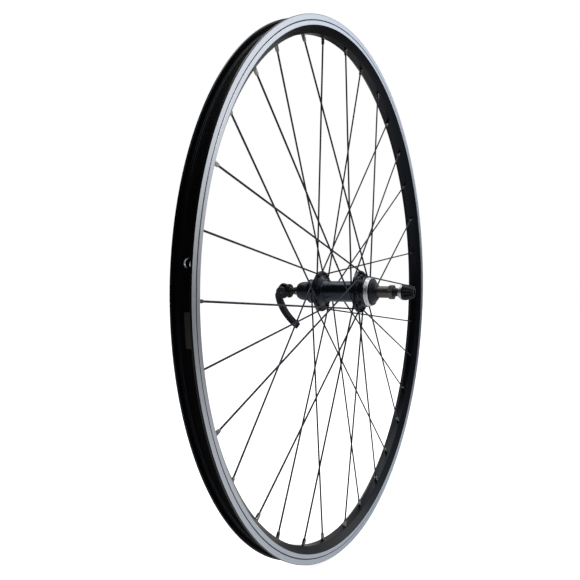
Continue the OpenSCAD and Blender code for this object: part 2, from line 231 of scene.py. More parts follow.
def rounded(points, steps=4):
    """A closed outline of (r, s, fillet radius) corners, with each corner rounded by its radius."""
    nearly_straight = math.radians(88)
    most_of_a_side = 0.48
    out = []
    for i, (r, s, radius) in enumerate(points):
        here = Vector((r, s))
        before = Vector(points[i - 1][:2]) - here
        after = Vector(points[(i + 1) % len(points)][:2]) - here
        if radius <= 0 or before.length < 1e-6 or after.length < 1e-6:
            out.append((r, s))
            continue
        half = before.angle(after) / 2
        if half > nearly_straight:
            out.append((r, s))
            continue
        room = min(before.length * most_of_a_side, after.length * most_of_a_side)
        cut = min(radius / math.tan(half), room)
        start = here + before.normalized() * cut
        end = here + after.normalized() * cut
        for k in range(steps + 1):
            f = k / steps
            point = start * (1 - f) ** 2 + here * (2 * f * (1 - f)) + end * f ** 2
            out.append((point.x, point.y))
    return out


def lathe(name, profile, segments=96, hollow=False):
    """Turns a closed outline of (r, s) around the axle."""
    verts = [spot(r, s, 360 * i / segments) for i in range(segments) for r, s in profile]
    obj = add_mesh(name, verts, grid_faces(segments, len(profile), True, True))
    turn_outward(obj, hollow)
    return obj


def threaded(name, rows, radius, bore_r, segments=64):
    """A sleeve with the outside radius radius(s, t) at each s in rows, and a plain bore."""
    verts = []
    for i in range(segments):
        t = 360 * i / segments
        verts += [spot(radius(s, t), s, t) for s in rows]
        verts += [spot(bore_r, rows[-1], t), spot(bore_r, rows[0], t)]
    obj = add_mesh(name, verts, grid_faces(segments, len(rows) + 2, True, True))
    turn_outward(obj)
    return obj


def rows_between(s0, s1, step):
    count = max(2, round(abs(s1 - s0) / step))
    return [s0 + (s1 - s0) * i / count for i in range(count + 1)]


def thread_radius(s, t, major, depth, pitch):
    """Radius on a screw thread with flat crests, at s and t."""
    phase = (s / pitch + t / 360) % 1
    return major - depth * min(1.0, max(0.0, 1.5 - 4 * abs(phase - 0.5)))


def tube(name, points, radius, sides=12):
    """A round wire through points, in metres, with closed ends."""
    verts = []
    side = None
    for i, point in enumerate(points):
        ahead = (points[min(i + 1, len(points) - 1)] - points[max(i - 1, 0)]).normalized()
        side = (ahead.orthogonal() if side is None else side - ahead * side.dot(ahead)).normalized()
        up = ahead.cross(side)
        for j in range(sides):
            a = 2 * math.pi * j / sides
            verts.append(point + (side * math.cos(a) + up * math.sin(a)) * radius * MM)
    faces = grid_faces(len(points), sides, False, True)
    faces += [tuple(range(sides)), tuple(range(len(verts) - sides, len(verts)))]
    obj = add_mesh(name, verts, faces)
    turn_outward(obj)
    return obj


def cylinder_between(name, a, b, radius, sides=32):
    return tube(name, [a, b], radius, sides)


def hole_cutter(r0, r1, s, t, radius, sides):
    """A cylinder that stands radially on the wheel, from r0 to r1."""
    return cylinder_between("hole", spot(r0, s, t), spot(r1, s, t), radius, sides)


def join(name, objects):
    """One object from several; their meshes are merged as separate shells."""
    bm = bmesh.new()
    for obj in objects:
        bm.from_mesh(obj.data)
        bpy.data.objects.remove(obj)
    mesh = bpy.data.meshes.new(name)
    bm.to_mesh(mesh)
    bm.free()
    obj = bpy.data.objects.new(name, mesh)
    bpy.context.scene.collection.objects.link(obj)
    return obj


def apply_modifiers(obj):
    graph = bpy.context.evaluated_depsgraph_get()
    mesh = bpy.data.meshes.new_from_object(obj.evaluated_get(graph))
    obj.modifiers.clear()
    obj.data = mesh


def cut_out(obj, cutters):
    """Cuts the cutters' joined shape out of obj."""
    cutter = join("cutter", cutters)
    modifier = obj.modifiers.new("cut", "BOOLEAN")
    modifier.operation = "DIFFERENCE"
    modifier.solver = "EXACT"
    modifier.object = cutter
    apply_modifiers(obj)
    bpy.data.objects.remove(cutter)


def set_piece(obj, body, material, replaced=(), sharp=35):
    soften(obj, sharp)
    obj.data.materials.clear()
    obj.data.materials.append(material)
    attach(obj, body)
    if replaced:
        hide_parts(*replaced)
    return obj


# ------------------------------------------------------------------ material helpers
def node(tree, kind, values=None, **settings):
    """A shader node with its settings, and its inputs set to numbers or linked to sockets."""
    made = tree.nodes.new("ShaderNode" + kind)
    for key, value in settings.items():
        setattr(made, key, value)
    for key, value in (values or {}).items():
        if isinstance(value, bpy.types.NodeSocket):
            tree.links.new(value, made.inputs[key])
        else:
            made.inputs[key].default_value = value
    return made


def calc(tree, operation, a, b=None):
    """The output of a Math node on numbers or sockets."""
    values = {0: a} if b is None else {0: a, 1: b}
    return node(tree, "Math", values, operation=operation).outputs[0]


def principled(name, **values):
    """A material with a Principled shader; returns it with its node tree and shader."""
    material = bpy.data.materials.new(name)
    material.use_nodes = True
    shader = material.node_tree.nodes["Principled BSDF"]
    for key, value in values.items():
        shader.inputs[key.replace("_", " ")].default_value = value
    return material, material.node_tree, shader


def place(tree):
    """Object coordinates in millimetres."""
    source = node(tree, "TexCoord").outputs["Object"]
    return node(tree, "VectorMath", {0: source, "Scale": 1000.0}, operation="SCALE").outputs["Vector"]


def axle_coordinates(tree, angle_scale=0.0):
    """A vector (radius, s, angle), so that noise on it gives the marks that turning leaves."""
    parts = node(tree, "SeparateXYZ", {0: place(tree)})
    x, y, z = parts.outputs["X"], parts.outputs["Y"], parts.outputs["Z"]
    flat = node(tree, "CombineXYZ", {"X": x, "Y": z}).outputs[0]
    radius = node(tree, "VectorMath", {0: flat}, operation="LENGTH").outputs["Value"]
    angle = calc(tree, "MULTIPLY", calc(tree, "ARCTAN2", x, z), angle_scale)
    return node(tree, "CombineXYZ", {"X": radius, "Y": y, "Z": angle}).outputs[0]


def ramp(tree, value, low, high, a, b):
    """Maps value from low..high to a..b, which may be numbers or colours."""
    span = {"Value": value, "From Min": low, "From Max": high}
    if isinstance(a, (int, float)):
        span.update({"To Min": a, "To Max": b})
        return node(tree, "MapRange", span).outputs[0]
    return mix(tree, node(tree, "MapRange", span).outputs[0], a, b)


def mix(tree, factor, a, b):
    """Mixes two colours, or sockets of colour, by a factor."""
    made = tree.nodes.new("ShaderNodeMix")
    made.data_type = "RGBA"
    factor_input, colour_a, colour_b = 0, 6, 7
    for key, value in ((factor_input, factor), (colour_a, a), (colour_b, b)):
        if isinstance(value, bpy.types.NodeSocket):
            tree.links.new(value, made.inputs[key])
        elif key == factor_input:
            made.inputs[key].default_value = value
        else:
            made.inputs[key].default_value = (*value[:3], 1)
    return made.outputs[2]


def mix_numbers(tree, factor, a, b):
    return node(tree, "Mix", {0: factor, 2: a, 3: b}).outputs[0]


def noise_value(tree, vector, scale, detail=3.0, roughness=0.55):
    values = {"Vector": vector, "Scale": scale, "Detail": detail, "Roughness": roughness}
    return node(tree, "TexNoise", values).outputs[0]


def bump(tree, shader, height, distance):
    """Bumps the shader's surface by height, which stands for distance in millimetres."""
    made = node(tree, "Bump", {"Height": height, "Distance": distance * MM, "Strength": 1.0})
    tree.links.new(made.outputs[0], shader.inputs["Normal"])


def turned_metal(name, dark, light, rough, line_scale=9.0, line_height=0.01, metallic=1.0):
    """Metal with the fine rings that a lathe leaves."""
    material, tree, shader = principled(name, Metallic=metallic)
    rings = noise_value(tree, axle_coordinates(tree, 0.6), line_scale, 4, 0.7)
    patches = noise_value(tree, place(tree), 0.25, 3)
    base = ramp(tree, rings, 0.3, 0.7, dark, light)
    gloss = ramp(tree, patches, 0.3, 0.7, rough * 0.8, rough * 1.25)
    tree.links.new(base, shader.inputs["Base Color"])
    tree.links.new(gloss, shader.inputs["Roughness"])
    bump(tree, shader, rings, line_height)
    return material


def grained(name, dark, light, rough, grain_scale, grain_height, metallic=0.0, **values):
    """Paint, oxide, rubber or moulded plastic with a fine grain and uneven gloss."""
    material, tree, shader = principled(name, Metallic=metallic, **values)
    where = place(tree)
    patches = noise_value(tree, where, 0.18, 4)
    grain = noise_value(tree, where, grain_scale, 3, 0.6)
    base = ramp(tree, patches, 0.3, 0.7, dark, light)
    gloss = ramp(tree, grain, 0.25, 0.75, rough * 0.85, rough * 1.2)
    tree.links.new(base, shader.inputs["Base Color"])
    tree.links.new(gloss, shader.inputs["Roughness"])
    bump(tree, shader, grain, grain_height)
    return material


def valve_distance(tree):
    """Distance from the valve hole's axis, in millimetres, on its own side of the rim."""
    out = tuple(spot(1 / MM, 0, VALVE_ANGLE))
    where = place(tree)
    along = node(tree, "VectorMath", {0: where, 1: out}, operation="DOT_PRODUCT").outputs["Value"]
    kept = calc(tree, "MAXIMUM", along, 0.0)
    foot = node(tree, "VectorMath", {0: out, "Scale": kept}, operation="SCALE").outputs["Vector"]
    return node(tree, "VectorMath", {0: where, 1: foot}, operation="DISTANCE").outputs["Value"]


# ------------------------------------------------------------------ materials
def bare_part(tree, turned):
    """1 where the rim is machined bare: its brake tracks and the wall of its valve hole."""
    parts = node(tree, "SeparateXYZ", {0: turned})
    radius = parts.outputs["X"]
    side = calc(tree, "ABSOLUTE", parts.outputs["Y"])
    inner = ramp(tree, radius, TRACK_R - 0.02, TRACK_R + 0.08, 0.0, 1.0)
    outer = ramp(tree, radius, RIM_R - 0.6, RIM_R - 0.45, 1.0, 0.0)
    flank = ramp(tree, side, HALF_W - 0.3, HALF_W - 0.2, 0.0, 1.0)
    track = calc(tree, "MULTIPLY", calc(tree, "MULTIPLY", inner, outer), flank)
    bore = ramp(tree, valve_distance(tree), VALVE_HOLE_R + 0.02, VALVE_HOLE_R + 0.12, 1.0, 0.0)
    return calc(tree, "MAXIMUM", track, bore)


def rim_material():
    """Black anodising with the two brake tracks machined bare."""
    values = {"Specular_IOR_Level": 0.24, "Specular_Tint": COOL_GLOSS}
    material, tree, shader = principled("rim_finish", **values)
    turned = axle_coordinates(tree, 0.2)
    bare = bare_part(tree, turned)
    fine = noise_value(tree, turned, 7.0, 5, 0.75)
    broad = noise_value(tree, turned, 1.1, 2, 0.5)
    grain = noise_value(tree, place(tree), 6.0, 3, 0.6)
    cloud = noise_value(tree, place(tree), 0.03, 4)
    metal = ramp(tree, fine, 0.3, 0.7, (0.54, 0.565, 0.61), (0.80, 0.825, 0.88))
    metal = mix(tree, ramp(tree, broad, 0.35, 0.65, 0.0, 0.35), metal, (0.60, 0.625, 0.68))
    black = ramp(tree, cloud, 0.35, 0.65, (0.0012, 0.0013, 0.0018), (0.0028, 0.0031, 0.0040))
    bare_rough = ramp(tree, fine, 0.3, 0.7, 0.30, 0.42)
    black_rough = ramp(tree, grain, 0.25, 0.75, 0.26, 0.36)
    rough = mix_numbers(tree, bare, black_rough, bare_rough)
    tree.links.new(mix(tree, bare, black, metal), shader.inputs["Base Color"])
    tree.links.new(bare, shader.inputs["Metallic"])
    tree.links.new(rough, shader.inputs["Roughness"])
    bump(tree, shader, mix_numbers(tree, bare, grain, fine), 0.006)
    return material


def tape_material():
    """Woven nylon: a plain weave along and across the band, with painted shade: the weave's crests are
    painted lighter and its hollows darker.
    """
    material, tree, shader = principled("tape_weave", Specular_IOR_Level=0.06)
    turned = node(tree, "SeparateXYZ", {0: axle_coordinates(tree, BED_R)})
    warp = calc(tree, "SINE", calc(tree, "MULTIPLY", turned.outputs["Z"], 5.2))
    weft = calc(tree, "SINE", calc(tree, "MULTIPLY", turned.outputs["Y"], 7.5))
    weave = calc(tree, "MULTIPLY", warp, weft)
    cloud = noise_value(tree, place(tree), 0.08, 4)
    base = ramp(tree, cloud, 0.35, 0.65, (0.0010, 0.0010, 0.0013), (0.0022, 0.0022, 0.0026))
    # painted shade: the colour is lightened where the weave rises and left darker in its hollows, as light
    # and shade between the threads
    painted_crest_light = ramp(tree, weave, -1.0, 1.0, 0.0, 0.5)
    gloss = ramp(tree, weave, -1.0, 1.0, 0.75, 0.55)
    tree.links.new(mix(tree, painted_crest_light, base, (0.0035, 0.0035, 0.0040)), shader.inputs["Base Color"])
    tree.links.new(gloss, shader.inputs["Roughness"])
    bump(tree, shader, weave, 0.06)
    return material


def label_material():
    """A blank matt sticker with cloudy paper fibres."""
    material, tree, shader = principled("blank_label", Roughness=0.5)
    fibres = noise_value(tree, place(tree), 2.5, 4)
    base = ramp(tree, fibres, 0.3, 0.7, (0.013, 0.011, 0.006), (0.026, 0.022, 0.012))
    tree.links.new(base, shader.inputs["Base Color"])
    bump(tree, shader, fibres, 0.02)
    return material


# look: material name, darkest and lightest colour, roughness, line scale, line height, metallic
TURNED = {
    "bare_alloy": ("bare_alloy", (0.62, 0.63, 0.64), (0.80, 0.81, 0.82), 0.30, 9.0, 0.010, 1.0),
    "thread": ("thread_alloy", (0.78, 0.79, 0.80), (0.92, 0.93, 0.94), 0.36, 4.0, 0.002, 1.0),
    "bearing": ("ground_steel", (0.42, 0.43, 0.44), (0.56, 0.57, 0.58), 0.22, 12.0, 0.003, 1.0),
    "axle": ("axle_oxide", (0.030, 0.030, 0.031), (0.065, 0.065, 0.066), 0.34, 7.0, 0.004, 0.8),
    "zinc": ("zinc_plate", (0.52, 0.54, 0.56), (0.74, 0.76, 0.78), 0.30, 5.0, 0.004, 1.0),
    "spacer": ("spacer_steel", (0.085, 0.078, 0.070), (0.160, 0.148, 0.134), 0.36, 7.0, 0.010, 0.9),
    "dark_nut": ("dark_zinc", (0.100, 0.108, 0.100), (0.185, 0.195, 0.185), 0.34, 5.0, 0.006, 0.9),
}
# look: material name, darkest and lightest colour, roughness, grain scale, grain height, metallic
GRAINED = {
    "nipple": ("nickel_plate", (0.16, 0.155, 0.140), (0.38, 0.37, 0.34), 0.20, 3.0, 0.004, 1.0),
    "spoke": ("black_oxide_wire", (0.022, 0.024, 0.038), (0.045, 0.050, 0.072), 0.42, 1.0, 0.001, 0.85),
    "dust_cap": ("dust_cap_paint", (0.005, 0.005, 0.006), (0.010, 0.0105, 0.012), 0.34, 3.0, 0.006, 0.0),
    "ball": ("ball_steel", (0.80, 0.81, 0.82), (0.88, 0.89, 0.90), 0.06, 4.0, 0.0005, 1.0),
    "cage": ("cage_sheet", (0.42, 0.38, 0.30), (0.55, 0.50, 0.40), 0.38, 3.0, 0.004, 1.0),
    "plastic": ("washer_plastic", (0.006, 0.006, 0.006), (0.012, 0.012, 0.012), 0.45, 3.0, 0.008, 0.0),
    "spring": ("spring_zinc", (0.52, 0.56, 0.60), (0.72, 0.76, 0.80), 0.26, 3.0, 0.003, 1.0),
}
# look: material name, darkest and lightest colour, roughness, grain scale, grain height, specular level
BLUE_BLACK = {
    "hub": ("hub_anodised", (0.0025, 0.0028, 0.0042), (0.0060, 0.0068, 0.0095), 0.22, 3.0, 0.010, 0.60),
    "rubber": ("moulded_rubber", (0.004, 0.0045, 0.006), (0.010, 0.011, 0.013), 0.34, 2.2, 0.012, 0.45),
    "lever": ("lever_coating", (0.0025, 0.0028, 0.0040), (0.0060, 0.0066, 0.0090), 0.30, 1.6, 0.014, 0.20),
    "nut": ("nut_coating", (0.004, 0.0042, 0.005), (0.008, 0.0085, 0.010), 0.32, 2.0, 0.012, 0.26),
}


def nylon():
    dark, light = (0.58, 0.56, 0.50), (0.70, 0.68, 0.62)
    return grained("insert_nylon", dark, light, 0.42, 2.0, 0.006, 0.0, Subsurface_Weight=0.2)


def blue_black(name, dark, light, rough, grain_scale, grain_height, specular):
    """A black coating whose gloss is slightly blue."""
    values = {"Specular_IOR_Level": specular, "Specular_Tint": COOL_GLOSS}
    return grained(name, dark, light, rough, grain_scale, grain_height, 0.0, **values)


LOOKS = {"rim": rim_material(), "tape": tape_material(), "label": label_material(), "nylon": nylon()}
LOOKS.update({look: turned_metal(*values) for look, values in TURNED.items()})
LOOKS.update({look: grained(*values) for look, values in GRAINED.items()})
LOOKS.update({look: blue_black(*values) for look, values in BLUE_BLACK.items()})

NODE_LOOKS = {
    "rim": "rim", "rim_joint_sleeve": "bare_alloy", "rim_tape": "tape", "rim_label": "label",
    "nipples": "nipple", "hub_shell": "hub", "axle": "axle", "lever": "lever", "cam_pin": "axle",
    "cam_washer": "plastic", "lever_cup": "lever", "cup_face": "axle", "nut_body": "nut",
    "nut_face": "zinc", "nut_insert": "nylon", "skewer_rod": "zinc", "spring_left": "spring",
    "spring_drive": "spring", "locknut_drive": "dark_nut", "locknut_left": "bearing",
    "hub_seal_drive": "rubber", "rubber_boot_left": "rubber", "dust_cap_left": "dust_cap",
    "dust_cap_drive": "dust_cap", "axle_spacer_drive": "spacer", "axle_spacer_left": "spacer",
}
NODE_LOOKS.update({name: "spoke" for name in NODES if name.startswith("spokes_")})
NODE_LOOKS.update({name: "bearing" for name in NODES if name.startswith(("cone_", "bearing_cup_"))})
NODE_LOOKS.update({name: "zinc" for name in NODES if name.startswith("lock_washer_")})
NODE_LOOKS.update({name: "ball" for name in NODES if name.startswith("balls_")})
NODE_LOOKS.update({name: "cage" for name in NODES if name.startswith("ball_cage_")})


def paint_cad_nodes():
    for name, look in NODE_LOOKS.items():
        NODES[name].data.materials.clear()
        NODES[name].data.materials.append(LOOKS[look])


# ------------------------------------------------------------------ lacing
def lace_sign(i):
    """+1 where a spoke leaves the hub ahead of its nipple, -1 where it trails."""
    return 1 if i % 4 in (0, 3) else -1


def away(i):
    """+1 for a drive-side spoke, -1 for a left one."""
    return 1 if i % 2 == 0 else -1


def spoke_angle(i):
    return FIRST_ANGLE + i * SPOKE_STEP


def hub_angle(i):
    return spoke_angle(i) + lace_sign(i) * LACING


# ------------------------------------------------------------------ wheel pieces
def mirrored(outline):
    """An outline of one half, from the inner bed to the well, closed by its mirror image."""
    return outline + [(r, -s, radius) for r, s, radius in reversed(outline)]


def rim_outline():
    """The rim's section, from its inner face round to its bed."""
    half, low, high = HALF_W, GROOVE_R - GROOVE_HALF_W, GROOVE_R + GROOVE_HALF_W
    floor_low, floor_high = GROOVE_R - GROOVE_FLOOR, GROOVE_R + GROOVE_FLOOR
    fillet, crisp, step = 0.5, 0.06, 0.05
    return mirrored([
        (RIM_INNER_R, INNER_HALF_W, 1.2), (RIM_INNER_R + 3, FLANK_HALF_W, 4),
        (TRACK_R - 0.5, SHOULDER_HALF_W, 0.8),
        (TRACK_R, half - 0.15, step), (TRACK_R + 0.15, half, step),
        (low, half, crisp), (floor_low, half - GROOVE_DEPTH, crisp),
        (floor_high, half - GROOVE_DEPTH, crisp), (high, half, crisp),
        (RIM_R, half, fillet), (RIM_R, half - 2.0, fillet), (RIM_R - 1.8, half - 2.2, fillet),
        (RIM_R - 2.6, half - WALL, fillet), (BEAD_SEAT_R, half - WALL, fillet),
        (BEAD_SEAT_R, BEAD_SEAT_HALF_W, 0.6), (BED_R, WELL_HALF_W, 0.8)])


def rim_hollow():
    return mirrored([(CAVITY_R, 4.1, 0.5), (CAVITY_R + 4, 7.8, 0.5), (BED_UNDER_R, 8.5, 0.5)])


def rim_holes():
    """Cutters for the valve hole, through everything, and the nipple holes in the inner wall."""
    cutters = [hole_cutter(RIM_INNER_R - 3, RIM_R, 0, VALVE_ANGLE, VALVE_HOLE_R, 48)]
    for i in range(SPOKES):
        s, t = away(i) * NIPPLE_STEP, spoke_angle(i)
        cutters.append(hole_cutter(SEAT_R - 2, SEAT_R + 2, s, t, NIPPLE_HOLE_R, 20))
    return cutters


def make_rim():
    segments = 512
    skin = lathe("rim_skin", rounded(rim_outline(), 3), segments)
    core = lathe("rim_core", rounded(rim_hollow(), 2), segments, hollow=True)
    rim = join("rim_extrusion", [skin, core])
    cut_out(rim, rim_holes())
    return set_piece(rim, "wheel", LOOKS["rim"], ["rim"], 40)


def make_tape():
    """The tape follows the well, and its edges ride up the bead seats."""
    low = BED_R + 0.05
    edge = low + TAPE_RISE
    rows = [(edge, 6.6), (low, 5.7), (low, -5.7), (edge, -6.6), (edge + TAPE_T, -6.3),
            (low + TAPE_T, -5.3), (low + TAPE_T, 5.3), (edge + TAPE_T, 6.3)]
    tape = lathe("rim_tape_band", rounded([(r, s, 0.25) for r, s in rows], 2), 360)
    cut_out(tape, [hole_cutter(BED_R - 2, RIM_R, 0, VALVE_ANGLE, VALVE_HOLE_R + 0.3, 48)])
    return set_piece(tape, "wheel", LOOKS["tape"], ["rim_tape"])


def flange_outline(s, low, high):
    """The points of a flange at s, between a barrel of radius low and one of radius high."""
    left, right = s - FLANGE_T / 2, s + FLANGE_T / 2
    return [(low, left - FLANGE_FOOT, 3.0), (FLANGE_FOOT_R, left, 1.6), (FLANGE_R, left, 0.9),
            (FLANGE_R, right, 0.9), (FLANGE_FOOT_R, right, 1.6), (high, right + FLANGE_FOOT, 3.0)]


def hub_profile():
    left, drive, bore, cup = HUB_LEFT_S, HUB_DRIVE_S, HUB_BORE_R, CUP_BORE_R
    root = THREAD_R - 1.2
    end = [(cup, left, 0.3), (15.1, left, 0.5), (15.1, -37.5, 2)]
    barrel = [(BARREL_R, -20.5, 8), (BARREL_R, 12.5, 6)]
    seat = [(SHOULDER_R, THREAD_S - 0.1, 0.5), (root, THREAD_S, 0.1), (root, drive, 0.2)]
    inside = [(cup, drive, 0.2), (cup, CUP_SEAT_DRIVE_S, 0), (bore, CUP_SEAT_DRIVE_S, 0.3),
              (bore, CUP_SEAT_LEFT_S, 0.3), (cup, CUP_SEAT_LEFT_S, 0)]
    left_flange = flange_outline(FLANGE_LEFT_S, 16, 14.4)
    drive_flange = flange_outline(FLANGE_DRIVE_S, 14.6, SHOULDER_R)
    return rounded(end + left_flange + barrel + drive_flange + seat + inside, 6)


def spoke_hole(i):
    s = FLANGE_DRIVE_S if away(i) > 0 else FLANGE_LEFT_S
    a, b = (spot(FLANGE_HOLE_R, s + side, hub_angle(i)) for side in (-3, 3))
    return cylinder_between("spoke_hole", a, b, SPOKE_HOLE_R, 20)


def make_hub():
    hub = lathe("hub_body", hub_profile(), 144)
    cut_out(hub, [spoke_hole(i) for i in range(SPOKES)])
    return set_piece(hub, "wheel", LOOKS["hub"], ["hub_shell"], 40)


def make_freewheel_thread():
    """The bright screw thread for the freewheel, with a lead-in at each end."""
    root = THREAD_R - THREAD_DEPTH

    def radius(s, t):
        lead = max(0.0, 0.7 - (HUB_DRIVE_S - s)) + max(0.0, 0.5 - (s - THREAD_S))
        crest = thread_radius(s, t, THREAD_R, THREAD_DEPTH, THREAD_PITCH)
        return max(root - 0.1, crest - lead)

    rows = rows_between(THREAD_S + 0.02, HUB_DRIVE_S, THREAD_PITCH / 8)
    ring = threaded("freewheel_thread", rows, radius, THREAD_R - 1.19, 128)
    return set_piece(ring, "wheel", LOOKS["thread"], (), 60)


def make_dust_cap():
    s = HUB_LEFT_S - 0.05
    outline = [(10.9, s, 0.1), (10.9, s - 1.25, 0.3), (12.2, s - 1.5, 0.4), (13.0, s - 1.2, 0.4),
               (14.6, s - 1.6, 0.5), (15.4, s - 1.2, 0.4), (15.4, s, 0.2)]
    cap = lathe("dust_cap_pressing", rounded(outline), 96)
    return set_piece(cap, "wheel", LOOKS["dust_cap"], ["dust_cap_left"])


# ------------------------------------------------------------------ axle pieces
def make_axle():
    """Hollow axle, threaded towards both ends and plain in the middle."""
    plain, end, step = AXLE_PLAIN_S, AXLE_HALF, 1 / 7

    def radius(s, t):
        if abs(s) < plain:
            return AXLE_R - 0.25
        lead = max(0.0, 0.7 - (end - abs(s)))
        return thread_radius(s, t, AXLE_R, AXLE_THREAD_DEPTH, 1.0) - lead

    rows = rows_between(-end, -plain, step) + [-plain + 0.1, plain - 0.1] + rows_between(plain, end, step)
    axle = threaded("axle_screw", rows, radius, ROD_R + 0.1, 40)
    return set_piece(axle, "axle", LOOKS["axle"], ["axle"], 60)


def make_spacer():
    """Turned spacer with fine rings along it."""
    s0, s1 = reach("axle_spacer_drive")

    def radius(s, _t):
        end = max(0.0, 0.35 - (s1 - s), 0.35 - (s - s0))
        wave = 0.5 - 0.5 * math.cos(2 * math.pi * (s - s0) / SPACER_RING_PITCH)
        return SPACER_R - SPACER_RING_DEPTH * wave - end

    rows = rows_between(s0, s1, SPACER_RING_PITCH / 8)
    spacer = threaded("spacer_drive", rows, radius, AXLE_R + 0.05, 72)
    return set_piece(spacer, "axle", LOOKS["spacer"], ["axle_spacer_drive"], 60)


def make_seal():
    """Conical rubber seal against the threaded end, with a lip and a rolled foot."""
    face, back = reach("hub_seal_drive")
    step, bore = back - 1.9, SPACER_R + 0.05
    lip = [(8.5, face + 0.6, 0.1), (12.4, face + 0.4, 0.2), (12.8, face, 0.2), (16.3, face, 0.35)]
    cone = [(16.3, face + 1.5, 0.6), (14.6, face + 1.5, 0.5), (10.4, step + 0.5, 2.0)]
    foot = [(8.9, step + 0.9, 0.6), (8.6, back, 0.5), (bore, back - 0.1, 0.1)]
    inside = [(bore, step + 0.1, 0), (8.5, step + 0.1, 0)]
    seal = lathe("hub_seal", rounded(lip + cone + foot + inside, 5), 128)
    return set_piece(seal, "axle", LOOKS["rubber"], ["hub_seal_drive"], 50)


def boot_dome(a):
    """The dome's outline at an angle of a degrees from its foot to its tip."""
    r = BOOT_TIP_R + (BOOT_R - BOOT_TIP_R) * math.cos(math.radians(a))
    return r, BOOT_DOME_S - BOOT_DOME_LENGTH * math.sin(math.radians(a)), 0


def make_boot():
    """Domed rubber boot, with a lip at its mouth and a collar at its tip."""
    tip, mouth = reach("rubber_boot_left")
    waist = BOOT_R - 0.35
    foot = [(10.4, mouth, 0.15), (BOOT_R, mouth, 0.4), (BOOT_R, mouth - 1.2, 0.3)]
    foot += [(waist, mouth - 1.6, 0.3), (waist, mouth - 2.4, 0.3), (BOOT_R, mouth - 2.9, 0.3)]
    collar = [(7.9, tip + 0.05, 0.1), (BOOT_TIP_R, tip, 0.1), (BOOT_TIP_R, tip + 1.7, 0)]
    inside = [(9.9, tip + 3.3, 0), (9.9, mouth - 4.6, 0), (10.4, mouth - 4, 0)]
    outline = foot + [boot_dome(a) for a in range(0, 86, 5)] + collar + inside
    boot = lathe("boot_dome", rounded(outline, 3), 128)
    return set_piece(boot, "axle", LOOKS["rubber"], ["rubber_boot_left"], 50)


# ------------------------------------------------------------------ quick release
def lever_frame():
    """The lever's own frame at rest: x along the pin, y away from the wheel, z along the closed arm."""
    return Matrix.Translation(spot(0, PIVOT_S)) @ Matrix.Rotation(math.radians(LEVER_ANGLE), 4, "Y")


def in_lever(x, y, z):
    """A point of the lever's own frame, given in millimetres, on the wheel in metres."""
    return lever_frame() @ (Vector((x, y, z)) * MM)


def pin_cylinder(name, y, radius, x0, x1, sides=48):
    """A cylinder along the cam pin."""
    return cylinder_between(name, in_lever(x0, y, 0), in_lever(x1, y, 0), radius, sides)


def arm_section(f):
    """Centre, outward normal, half width and half thickness of the arm at a fraction of its length."""
    u = -1 + (LEVER_LENGTH + 1) * f
    rise = math.sqrt(ARM_CURVE_R ** 2 - (u - ARM_CURVE_U) ** 2)
    normal = Vector((0, 1, (u - ARM_CURVE_U) / rise)).normalized()
    extra = ARM_EXTRA_T / 2 * min(1.0, max(0.0, (u - 9) / 12))
    drop = ARM_ROOT_DROP * max(0.0, 1 - (u + 1) / 7) ** 2
    centre = Vector((0, ARM_BULGE - ARM_CURVE_R + rise, u)) - normal * (extra + drop)
    root = math.sqrt(1 - (1 - min(1.0, (u + 1.2) / ARM_ROOT)) ** 2)
    end = min(1.0, (1 - f) * 30) ** 0.5
    half_w = (LEVER_W / 2 * (1 - f) + TIP_W / 2 * f) * (0.88 + 0.12 * end)
    half_t = (ARM_HALF_T + extra - ARM_THINNING * f) * (0.75 + 0.25 * end) * root
    return centre, normal, half_w, half_t


def lever_arm():
    """The curved arm, with a rounded oblong section."""
    steps, sides = 60, 28
    verts = []
    for i in range(steps + 1):
        centre, normal, half_w, half_t = arm_section(i / steps)
        for j in range(sides):
            a = 2 * math.pi * j / sides
            x = half_w * math.copysign(abs(math.cos(a)) ** 0.35, math.cos(a))
            y = half_t * math.copysign(abs(math.sin(a)) ** 0.45, math.sin(a))
            verts.append(in_lever(*(centre + Vector((x, 0, 0)) + normal * y)))
    faces = grid_faces(steps + 1, sides, False, True)
    faces += [tuple(range(sides)), tuple(range(steps * sides, (steps + 1) * sides))]
    arm = add_mesh("arm", verts, faces)
    turn_outward(arm)
    return arm


def fork_slot():
    """A block for the slot in the cam head, which lets the rod's eye in."""
    half, far, top = FORK_HALF_W, 20, 2.9
    corners = [in_lever(x, y, z) for x in (-half, half) for y in (-far, far) for z in (-far, top)]
    faces = [(0, 1, 3, 2), (4, 6, 7, 5), (0, 4, 5, 1), (2, 3, 7, 6), (0, 2, 6, 4), (1, 5, 7, 3)]
    block = add_mesh("slot_box", corners, faces)
    turn_outward(block)
    return block


def weld(obj, voxel):
    """Welds crossing shells into one skin and softens the seams."""
    remesh = obj.modifiers.new("weld", "REMESH")
    remesh.mode = "VOXEL"
    remesh.voxel_size = voxel * MM
    apply_modifiers(obj)
    smooth = obj.modifiers.new("smooth", "SMOOTH")
    smooth.factor = 0.5
    smooth.iterations = 4
    apply_modifiers(obj)


def make_lever():
    """Forged lever: a forked cam head that runs out into a curved, tapering arm."""
    head = pin_cylinder("head", -CAM_OFFSET, CAM_R, -LEVER_W / 2, LEVER_W / 2, 64)
    lever = join("lever_forging", [lever_arm(), head])
    weld(lever, 0.45)
    cut_out(lever, [fork_slot()])
    cut_out(lever, [pin_cylinder("eye_room", 0, EYE_R + 0.4, -FORK_HALF_W, FORK_HALF_W)])
    cut_out(lever, [pin_cylinder("bore", 0, PIN_R + 0.05, -LEVER_W, LEVER_W)])
    return set_piece(lever, "lever", LOOKS["lever"], ["lever"], 42)


